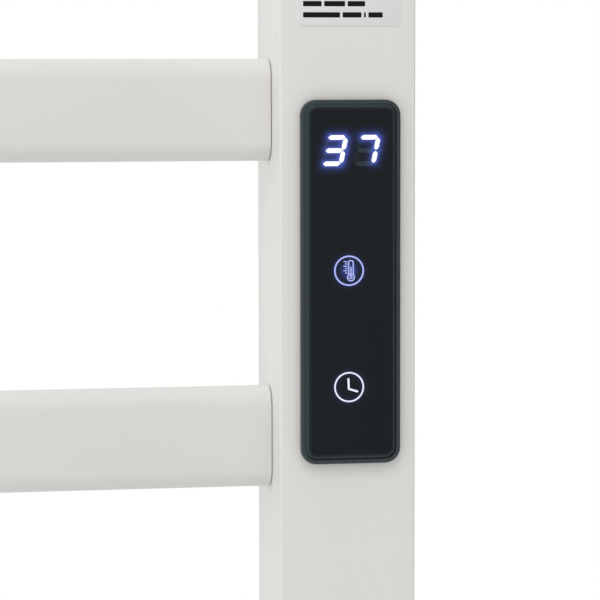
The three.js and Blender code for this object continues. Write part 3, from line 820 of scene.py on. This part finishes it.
def make_cover():
    """A smoked cover whose front rises from its edge in a rounded pillow."""
    shoulder = COVER_LOW.y + PILLOW_RISE
    cover = add_block("pillow_cover", (COVER_LOW.x, shoulder, COVER_LOW.z), COVER_HIGH)
    round_corners(cover, COVER_CORNER, 12)
    facing_user(cover, shoulder)
    first = math.radians(PILLOW_START)
    turn = (math.pi / 2 - first) / PILLOW_STEPS
    width = PILLOW_WIDTH / math.cos(first)
    rise = PILLOW_RISE / (1 - math.sin(first))
    for step in range(PILLOW_STEPS):
        start = first + turn * step
        bpy.ops.mesh.inset(
            thickness=width * (math.cos(start) - math.cos(start + turn)),
            depth=rise * (math.sin(start + turn) - math.sin(start)),
        )
    done()
    return smooth(cover, 50)


finish_piece(make_housing(), "rail", HOUSING_PLASTIC, ["control_housing"])
finish_piece(make_cover(), "rail", COVER, ["touch_cover"])


# ---- what shines through the cover ----

# Places on the cover are (right, up) in millimetres from the control's middle.
DIGIT_PITCH = 9.53
DIGIT_MIDDLES = ((-5.13, 38.27), (-5.13 + DIGIT_PITCH, 38.27))
BAR_ACROSS = 5.6
UPRIGHT_ACROSS = 5.34
BAR_UP = 3.77
BAR_THICKNESS = 1.36
BAR_TIP = 0.22 * MM
LEVEL_GAP = 0.28
UPRIGHT_GAP = 0.12
DIGIT_LEAN = math.tan(math.radians(11.4))
RING_RADIUS = 4.18
LINE_WIDTH = 0.44
FINE_LINE = 0.36
HAND_WIDTH = 0.58
TICK_COUNT = 6
THERMOMETER_MIDDLE = (-0.8, 3.56)
CLOCK_MIDDLE = (-0.78, -30.27)
DIGIT_REACH = 0.62
ICON_REACH = 0.5
UNLIT_SHARE = 0.3
UNLIT_AT_EDGE = 0.4
THERMOMETER_GLOW_RADIUS = 2.2
DIGIT_SHEET = ((-11.2, 30.5), (11.1, 46.3))
ICON_SHEET_REACH = 7
SPREAD_CELL = 0.2
PRINT_PROUD = 0.06 * MM
SPREAD_PROUD = 0.02 * MM

# How far a bar's middle lies to the right in its digit, how far up in bar heights, and
# whether it stands upright.
BARS = {
    "top": (0, 1, False),
    "upper_right": (UPRIGHT_ACROSS / 2, 0.5, True),
    "lower_right": (UPRIGHT_ACROSS / 2, -0.5, True),
    "bottom": (0, -1, False),
    "lower_left": (-UPRIGHT_ACROSS / 2, -0.5, True),
    "upper_left": (-UPRIGHT_ACROSS / 2, 0.5, True),
    "middle": (0, 0, False),
}
LIT_BARS = (
    ("top", "upper_right", "lower_right", "bottom", "middle"),
    ("top", "upper_right", "lower_right"),
)
LEAKING_BARS = ((), ("middle", "bottom"))


def on_cover(right, up, proud=0.0):
    return Vector((CONTROL_MIDDLE.x + right * MM, COVER_LOW.y - proud, CONTROL_MIDDLE.z + up * MM))


def half_length(stands):
    return BAR_UP / 2 - UPRIGHT_GAP if stands else BAR_ACROSS / 2 - LEVEL_GAP


def bar_ends(digit, bar):
    """The two tips of a bar, as it leans, in millimetres from the control's middle."""
    x, up, stands = BARS[bar]
    middle_x, middle_z = DIGIT_MIDDLES[digit]
    z = up * BAR_UP
    half = half_length(stands)
    tips = [(x, z - half), (x, z + half)] if stands else [(x - half, z), (x + half, z)]
    return [(middle_x + tip_x + DIGIT_LEAN * tip_z, middle_z + tip_z) for tip_x, tip_z in tips]


def make_bar(stands):
    """A flat bar with pointed, slightly blunted ends, about the origin."""
    half = half_length(stands) * MM
    side = BAR_THICKNESS / 2 * MM
    x, z = (side, half) if stands else (half, side)
    bar = add_block("bar", (-x, 0, -z), (x, PRINT_PROUD, z))
    round_corners(bar, 0.96 * side, 1)
    round_corners(bar, BAR_TIP, 2)
    return bar


def make_bars(name, chosen):
    """Copies of the level and the upright bar, leaning, wherever chosen(digit, bar) is true."""
    patterns = {stands: make_bar(stands) for stands in (False, True)}
    lean = Matrix.Identity(4)
    lean[0][2] = DIGIT_LEAN
    copies = []
    for digit in range(len(DIGIT_MIDDLES)):
        for bar, (across, up, stands) in BARS.items():
            if chosen(digit, bar):
                offset = Matrix.Translation(Vector((across, 0, up * BAR_UP)) * MM)
                place = Matrix.Translation(on_cover(*DIGIT_MIDDLES[digit], PRINT_PROUD))
                copies.append(copy_of(patterns[stands], "bar", place @ lean @ offset))
    for pattern in patterns.values():
        bpy.data.objects.remove(pattern)
    return joined(name, copies)


def make_ring(name, middle, radius, width=LINE_WIDTH, sides=64):
    """A flat printed ring."""
    inner = radius - width / 2
    outer = radius + width / 2
    thickness = PRINT_PROUD / MM
    steps = [(inner, 0), (outer, 0), (outer, thickness), (inner, thickness)]
    ring = turned(name, steps, sides, through=True)
    return placed(ring, on_cover(*middle), TO_USER)


def make_stroke(name, start, end, width=LINE_WIDTH):
    """A flat printed line with rounded ends between two places on the cover."""
    start, end = Vector(start), Vector(end)
    half = width / 2 * MM
    length = (end - start).length * MM / 2 + half
    stroke = add_block(name, (-length, 0, -half), (length, PRINT_PROUD, half))
    round_corners(stroke, 0.98 * half, 5)
    run = end - start
    turn = Matrix.Rotation(-math.atan2(run.y, run.x), 4, "Y")
    return placed(stroke, on_cover(*((start + end) / 2), PRINT_PROUD), turn)


def around(middle, right, up):
    return (middle[0] + right, middle[1] + up)


def make_thermometer():
    """A ring round a thermometer and its six ticks."""
    middle = THERMOMETER_MIDDLE
    bulb = around(middle, 0.56, -1.95)
    strokes = [
        make_ring("ring", middle, RING_RADIUS),
        make_ring("bulb", bulb, 1.0, FINE_LINE, 32),
        make_ring("mercury", bulb, 0.36, 0.3, 20),
    ]
    lines = (
        ((-0.12, -1.2), (-0.12, 2.5)),
        ((1.24, -1.2), (1.24, 2.5)),
        ((-0.12, 2.5), (0.2, 2.92)),
        ((0.2, 2.92), (0.92, 2.92)),
        ((0.92, 2.92), (1.24, 2.5)),
        ((0.56, -1.4), (0.56, 1.0)),
    )
    for start, end in lines:
        strokes.append(make_stroke("stem", around(middle, *start), around(middle, *end), FINE_LINE))
    for tick in range(TICK_COUNT):
        up = 2.65 - 0.66 * tick
        left = -1.05 if tick % 2 else -1.5
        strokes.append(make_stroke("tick", around(middle, left, up), around(middle, -0.62, up), 0.3))
    return joined("thermometer_window", strokes)


def make_clock():
    """A ring round the two hands of a clock."""
    hub = around(CLOCK_MIDDLE, -0.1, -0.55)
    strokes = [
        make_ring("ring", CLOCK_MIDDLE, RING_RADIUS),
        make_stroke("hand", hub, around(CLOCK_MIDDLE, -0.22, 2.35), HAND_WIDTH),
        make_stroke("hand", hub, around(CLOCK_MIDDLE, 2.4, -1.3), HAND_WIDTH),
    ]
    return joined("clock_window", strokes)


def gap_to_line(point, start, end):
    along = (point - start).dot(end - start) / max((end - start).length_squared, 1e-12)
    return (point - start - (end - start) * min(1, max(0, along))).length


def paint(piece, attribute, value_at):
    """Gives each point of the piece a value that its material reads."""
    values = piece.data.attributes.new(attribute, "FLOAT", "POINT")
    for vertex, value in zip(piece.data.vertices, values.data):
        offset = (vertex.co - on_cover(0, 0)) / MM
        value.value = value_at(Vector((offset.x, offset.z)))


def make_spread(name, low, high):
    """A thin, finely divided sheet in the cover's face that carries the light round what is lit."""
    low, high = Vector(low), Vector(high)
    cells = [round(side / SPREAD_CELL) for side in high - low]
    deselect()
    bpy.ops.mesh.primitive_grid_add(
        x_subdivisions=cells[0], y_subdivisions=cells[1], size=1,
        location=on_cover(*((low + high) / 2), SPREAD_PROUD),
        rotation=(math.radians(90), 0, 0),
    )
    bpy.context.object.scale = (*((high - low) * MM), 1)
    sheet = settle(name)
    faces(sheet, lambda face: True)
    push(2 * SPREAD_PROUD)
    done()
    return outward(sheet)


def spread_light(gaps, reach):
    """The light at a point that lies these distances off whatever is lit."""
    return sum(math.exp(-max(gap, 0) / reach) for gap in gaps)


def bar_gaps(point, chosen):
    """How far the point lies outside each chosen bar."""
    gaps = []
    for digit in range(len(DIGIT_MIDDLES)):
        for bar in BARS:
            if chosen(digit, bar):
                start, end = (Vector(tip) for tip in bar_ends(digit, bar))
                inset = (end - start).normalized() * BAR_THICKNESS / 2
                gap = gap_to_line(point, start + inset, end - inset)
                gaps.append(gap - BAR_THICKNESS / 2)
    return gaps


def is_lit(digit, bar):
    return bar in LIT_BARS[digit]


def is_leaking(digit, bar):
    return bar in LEAKING_BARS[digit]


def digit_glow(point):
    return min(1.0, spread_light(bar_gaps(point, is_lit), DIGIT_REACH))


def unlit_bar(point):
    """How much of an unlit bar shows at a point: all of a leaking one, a little of the others."""
    inside = {True: 0.0, False: 0.0}
    for leaks in inside:
        gaps = bar_gaps(
            point, lambda digit, bar: not is_lit(digit, bar) and is_leaking(digit, bar) == leaks
        )
        inside[leaks] = min(1.0, max(0.0, UNLIT_AT_EDGE - min(gaps) / SPREAD_CELL))
    return max(inside[True], UNLIT_SHARE * inside[False])


def thermometer_gaps(point):
    off_centre = (point - Vector(THERMOMETER_MIDDLE)).length
    return [abs(off_centre - RING_RADIUS), off_centre - THERMOMETER_GLOW_RADIUS]


def clock_gaps(point):
    return [abs((point - Vector(CLOCK_MIDDLE)).length - RING_RADIUS)]


finish_piece(make_bars("lit_digits", is_lit), "rail", DIGIT_LIGHT)
finish_piece(make_thermometer(), "rail", THERMOMETER_LIGHT)
finish_piece(make_clock(), "rail", CLOCK_LIGHT)
digit_sheet = make_spread("digit_spread_sheet", *DIGIT_SHEET)
paint(digit_sheet, "glow", digit_glow)
paint(digit_sheet, "unlit", unlit_bar)
finish_piece(digit_sheet, "rail", DIGIT_SPREAD)
for icon, middle, gaps in (
    ("thermometer", THERMOMETER_MIDDLE, thermometer_gaps),
    ("clock", CLOCK_MIDDLE, clock_gaps),
):
    low = around(middle, -ICON_SHEET_REACH, -ICON_SHEET_REACH)
    high = around(middle, ICON_SHEET_REACH, ICON_SHEET_REACH)
    sheet = make_spread(f"{icon}_spread_sheet", low, high)
    paint(sheet, "glow", lambda point: min(1.0, spread_light(gaps(point), ICON_REACH)))
    finish_piece(sheet, "rail", ICON_SPREAD)


# ---- inside the control ----

ON_BOARD = 0.02
PIN_PITCH = 0.9
SPRING_WIRE = 0.4 * MM
SPRING_TURNS = 3
STEPS_IN_A_TURN = 28
# Places of the terminal block's four screws, (right, up) in millimetres from its middle.
TERMINAL_PLACES = [(right, up) for right in (-4, 4) for up in (-7, 7)]
TERMINAL_WELL = 1.8 * MM
LEAD_ENTRY = 2 * MM


def make_moulded_block(name, node_name, edge, corner=0.0):
    low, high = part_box(node_name)
    block = add_block(name, low, high)
    if corner:
        round_corners(block, corner, 5)
    return smooth(rounded(block, edge, 2, 60), 35)


def make_display_module():
    """A black module with a sunk face behind the cover."""
    low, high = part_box("digit_display")
    module = add_block("two_digit_module", low, high)
    round_corners(module, 0.6 * MM, 3)
    facing_user(module, low.y)
    bpy.ops.mesh.inset(thickness=0.7 * MM)
    push(0.5 * MM)
    done()
    return smooth(module, 35)


def make_board_parts():
    """A controller chip, a buzzer, a capacitor and rows of small resistors on the board's back."""
    board_low, board_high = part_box("circuit_board")
    middle = (board_low + board_high) / 2
    middle.y = board_high.y
    parts = []

    def chip(right, up, width, height, rise):
        corner = middle + Vector((right - width / 2, ON_BOARD, up - height / 2)) * MM
        block = add_block("chip", corner, corner + Vector((width, rise, height)) * MM)
        parts.append(rounded(block, 0.15 * MM, 1, 60))

    chip(0, 22, 8, 8, 1.2)
    chip(-3, 36.5, 5, 4, 1.0)
    chip(4.5, -38, 6, 3.2, 2.2)
    for row in range(7):
        chip(-8, 10 + 4 * row, 1.6, 0.8, 0.5)
        chip(8, 10 + 4 * row, 1.6, 0.8, 0.5)
    for pin in range(8):
        chip(-4.4, 18.8 + PIN_PITCH * pin, 0.7, 0.35, 0.3)
        chip(4.4, 18.8 + PIN_PITCH * pin, 0.7, 0.35, 0.3)
    buzzer = turned("buzzer", [(4.2, 0), (4.5, 0.3), (4.5, 3.7), (4.1, 4.1), (1, 4.1), (1, 3.2)], 32)
    parts.append(placed(buzzer, middle + Vector((0, ON_BOARD, 3)) * MM, TO_WALL))
    return smooth(joined("board_parts", parts), 35)


def make_key_spring(name, node_name):
    """A coil of wire that carries the touch from the cover to the board."""
    low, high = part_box(node_name)
    radius = (high.x - low.x) / 2 - SPRING_WIRE
    middle = (low + high) / 2
    middle.y = low.y + SPRING_WIRE
    deselect()
    bpy.ops.mesh.primitive_circle_add(
        vertices=10, radius=0.9 * SPRING_WIRE, location=(radius, 0, 0),
        rotation=(math.radians(90), 0, 0),
    )
    spring = settle(name)
    coil = spring.modifiers.new("coil", "SCREW")
    coil.axis = "Z"
    coil.angle = SPRING_TURNS * 2 * math.pi
    coil.screw_offset = high.y - low.y - 2 * SPRING_WIRE
    coil.steps = STEPS_IN_A_TURN * SPRING_TURNS
    coil.render_steps = STEPS_IN_A_TURN * SPRING_TURNS
    apply_modifiers(spring)
    faces(spring, lambda face: False)
    bpy.ops.mesh.select_mode(type="EDGE")
    bpy.ops.mesh.select_non_manifold()
    bpy.ops.mesh.edge_face_add()
    done()
    outward(spring)
    return smooth(placed(spring, middle, TO_WALL))


def make_terminal_block():
    """A nylon block with four screw wells and its lead entries above and below."""
    low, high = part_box("terminal_block")
    middle = (low + high) / 2
    block = rounded(add_block("lead_terminal_block", low, high), 0.5 * MM, 2, 60)
    back = Vector((middle.x, high.y, middle.z))
    cutters = []
    for right, up in TERMINAL_PLACES:
        well = back + Vector((right, 0, up)) * MM
        entry = Vector((middle.x + right * MM, middle.y, low.z if up < 0 else high.z))
        cutters.append(rod(well, TERMINAL_WELL, 4 * MM, TO_USER, 28))
        cutters.append(rod(entry, LEAD_ENTRY, 6 * MM, sides=28))
    groove = Vector((0.6, 1.2, 30)) * MM
    cutters.append(rounded(add_block("groove", back - groove, back + groove), 0.2 * MM, 1))
    cut_away(block, *cutters)
    return smooth(block, 35)


def make_terminal_screws():
    """Four slotted screws at the bottom of the wells."""
    low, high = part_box("terminal_block")
    middle = (low + high) / 2
    pattern = turned("screw", [(1.2, 0), (1.6, 0.2), (1.6, 0.9), (1.4, 1.1)], 28)
    slot = Vector((2, 0.22, 0.5)) * MM
    top = Vector((0, 0, 1.1)) * MM
    cut_away(pattern, rounded(add_block("slot", top - slot, top + slot), 0.05 * MM, 1))
    well_floor = Vector((middle.x, high.y - 1.95 * MM, middle.z))
    screws = []
    for right, up in TERMINAL_PLACES:
        place = well_floor + Vector((right, 0, up)) * MM
        screws.append(copy_of(pattern, "screw", Matrix.Translation(place) @ TO_WALL))
    bpy.data.objects.remove(pattern)
    return smooth(joined("terminal_screws", screws), 35)


def make_sensor():
    low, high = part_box("temperature_sensor")
    radius = (high.x - low.x) / 2 / MM
    length = (high.z - low.z) / MM
    tip = [(0.4 * radius, 0), (0.8 * radius, 0.35), (radius, 1.1), (radius, length - 4.4)]
    crimp = [(0.86 * radius, length - 4), (0.86 * radius, length - 3.4), (radius, length - 3)]
    end = [(radius, length - 0.6), (0.8 * radius, length)]
    sensor = turned("crimped_sensor", tip + crimp + end, 32)
    return smooth(placed(sensor, ((low.x + high.x) / 2, (low.y + high.y) / 2, low.z)), 35)


finish_piece(make_display_module(), "rail", MODULE_BLACK, ["digit_display"])
finish_piece(
    make_moulded_block("printed_circuit_board", "circuit_board", 0.12 * MM, 1 * MM),
    "rail", CIRCUIT_GREEN, ["circuit_board"],
)
finish_piece(make_board_parts(), "rail", MODULE_BLACK)
finish_piece(
    make_moulded_block("relay_case", "relay", 0.4 * MM, 0.6 * MM),
    "rail", RELAY_BLUE, ["relay"],
)
for key in ("upper", "lower"):
    spring = make_key_spring(f"{key}_key_coil", f"{key}_key_spring")
    finish_piece(spring, "rail", BRASS, [f"{key}_key_spring"])
finish_piece(make_terminal_block(), "rail", NYLON, ["terminal_block"])
finish_piece(make_terminal_screws(), "rail", ZINC)
finish_piece(make_sensor(), "rail", STAINLESS, ["temperature_sensor"])
finish_piece(
    make_moulded_block("thermal_cutout_case", "thermal_cutout", 0.6 * MM, 1.2 * MM),
    "rail", CAP_PLASTIC, ["thermal_cutout"],
)

PLAIN_NODES = {"control_gasket": SEAL_RUBBER, "heating_cable": SILICONE}
PLAIN_NODES.update({name: NYLON for name in frame["nodes"] if name.startswith("connector_")})
for name, material in PLAIN_NODES.items():
    mesh = bpy.data.objects[name].data
    mesh.materials.clear()
    mesh.materials.append(material)


# ---- the label ----

LABEL_CORNER = 2 * MM
LABEL_FILM_EDGE = 0.05 * MM
LABEL_BACK_Y = FACE_Y - 0.02 * MM
LABEL_FRONT_Y = LABEL_BACK_Y - 0.15 * MM
INK_PROUD = 0.03 * MM
INK_CORNER = 0.2 * MM
# Heights, places and widths of the dark bars are in millimetres.
INK_HEIGHT = 1.5
INK_PITCH = 3.2
INK_LEFT = 1.8
WORD_GAP = 0.78
# Widths in each line, from the lowest line up.
INK_LINES = (
    (10.8, 5.5, 0.5, 4.2),
    (5.4, 6.1, 5.1),
    (5.2, 7.4, 5.0),
    (9.6, 7.8),
    (6.0, 4.8, 6.4),
    (7.2, 8.6),
)
INK_FROM_BOTTOM = 3.25
HEADING = (17.5, 2.4)
HEADING_FROM_BOTTOM = 30.5


def make_label():
    low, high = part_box("rating_label")
    low.y, high.y = LABEL_FRONT_Y, LABEL_BACK_Y
    label = add_block("rating_label_film", low, high)
    round_corners(label, LABEL_CORNER, 8)
    front_outline(label, LABEL_FRONT_Y)
    bpy.ops.mesh.bevel(offset=LABEL_FILM_EDGE, segments=2)
    done()
    return smooth(label, 35)


def make_label_bars():
    """Plain dark bars in place of the label's lines of words."""
    label_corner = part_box("rating_label")[0]
    label_corner.y = LABEL_FRONT_Y - INK_PROUD
    bars = []

    def bar(left, bottom, width, height):
        corner = label_corner + Vector((left, 0, bottom)) * MM
        block = add_block("ink", corner, corner + Vector((width * MM, INK_PROUD, height * MM)))
        round_corners(block, INK_CORNER, 2)
        bars.append(block)

    for line, widths in enumerate(INK_LINES):
        left = INK_LEFT
        for width in widths:
            bar(left, INK_FROM_BOTTOM + line * INK_PITCH - INK_HEIGHT / 2, width, INK_HEIGHT)
            left += width + WORD_GAP
    bar(INK_LEFT, HEADING_FROM_BOTTOM, *HEADING)
    return joined("label_bars", bars)


finish_piece(make_label(), "rail", LABEL_FILM, ["rating_label"])
finish_piece(make_label_bars(), "rail", LABEL_INK)


# ---- stage, lights and camera ----

# Brightness of the studio towards its bright side and away from it.
BRIGHT_SIDE = (-0.93, -0.04, 0.48)
STUDIO_BRIGHT = 1.18
STUDIO_DIM = 0.28
SEEN_WHITE = 1.0
KEY_FROM_CONTROL = Vector((-0.14, -0.58, 0.86))
KEY_SIZE = 0.24
KEY_POWER = 1.6
# The camera's place is in millimetres from the control, its turns in degrees.
CAMERA_FROM_CONTROL = Vector((-157.44, -813.3, 63.5)) * MM
CAMERA_YAW = 9.9645
CAMERA_DOWN = 4.7432
CAMERA_ROLL = -0.0934
CAMERA_LENS = 171.62


def make_floor():
    deselect()
    bpy.ops.mesh.primitive_plane_add(size=2.4, location=(0, -0.2, cad_box[0].z - 0.1))
    floor = settle("floor")
    floor.data.materials.append(new_material("floor_white", (0.85, 0.85, 0.85), 0.8))


def make_world():
    """A white studio, brightest towards its left and upper side."""
    world = bpy.data.worlds.new("studio")
    world.use_nodes = True
    bpy.context.scene.world = world
    place = node(world, "ShaderNodeTexCoord")
    towards = node(world, "ShaderNodeVectorMath", operation="DOT_PRODUCT")
    towards.inputs[1].default_value = Vector(BRIGHT_SIDE).normalized()
    strength = node(world, "ShaderNodeMapRange")
    strength.inputs["From Min"].default_value = -1.0
    strength.inputs["From Max"].default_value = 1.0
    strength.inputs["To Min"].default_value = STUDIO_DIM
    strength.inputs["To Max"].default_value = STUDIO_BRIGHT
    sky = world.node_tree.nodes["Background"]
    sky.inputs["Color"].default_value = (1, 1, 1, 1)
    seen = node(world, "ShaderNodeBackground")
    seen.inputs["Color"].default_value = (1, 1, 1, 1)
    seen.inputs["Strength"].default_value = SEEN_WHITE
    ray = node(world, "ShaderNodeLightPath")
    mix = node(world, "ShaderNodeMixShader")
    link(world, place.outputs["Generated"], towards.inputs[0])
    link(world, towards.outputs["Value"], strength.inputs["Value"])
    link(world, strength.outputs["Result"], sky.inputs["Strength"])
    link(world, ray.outputs["Is Camera Ray"], mix.inputs["Fac"])
    link(world, sky.outputs["Background"], mix.inputs[1])
    link(world, seen.outputs["Background"], mix.inputs[2])
    surface = world.node_tree.nodes["World Output"].inputs["Surface"]
    link(world, mix.outputs["Shader"], surface)


def soft_light(name, from_control, size, power):
    """A square light, placed from the control's middle and turned towards it."""
    lamp = bpy.data.lights.new(name, "AREA")
    lamp.size = size
    lamp.energy = power
    light = bpy.data.objects.new(name, lamp)
    light.location = CONTROL_MIDDLE + from_control
    light.rotation_euler = (-from_control).to_track_quat("-Z", "Y").to_euler()
    bpy.context.scene.collection.objects.link(light)


def make_camera():
    data = bpy.data.cameras.new("camera")
    data.lens = CAMERA_LENS
    data.sensor_width = 36
    data.clip_start = 0.05
    camera = bpy.data.objects.new("camera", data)
    turn = Matrix.Rotation(math.radians(-CAMERA_YAW), 4, "Z")
    tilt = Matrix.Rotation(math.radians(90 - CAMERA_DOWN), 4, "X")
    roll = Matrix.Rotation(math.radians(CAMERA_ROLL), 4, "Z")
    camera.matrix_world = Matrix.Translation(CONTROL_MIDDLE + CAMERA_FROM_CONTROL) @ turn @ tilt @ roll
    bpy.context.scene.collection.objects.link(camera)
    bpy.context.scene.camera = camera


make_floor()
make_world()
soft_light("key", KEY_FROM_CONTROL, KEY_SIZE, KEY_POWER)
make_camera()
bpy.context.scene.view_settings.view_transform = "Standard"
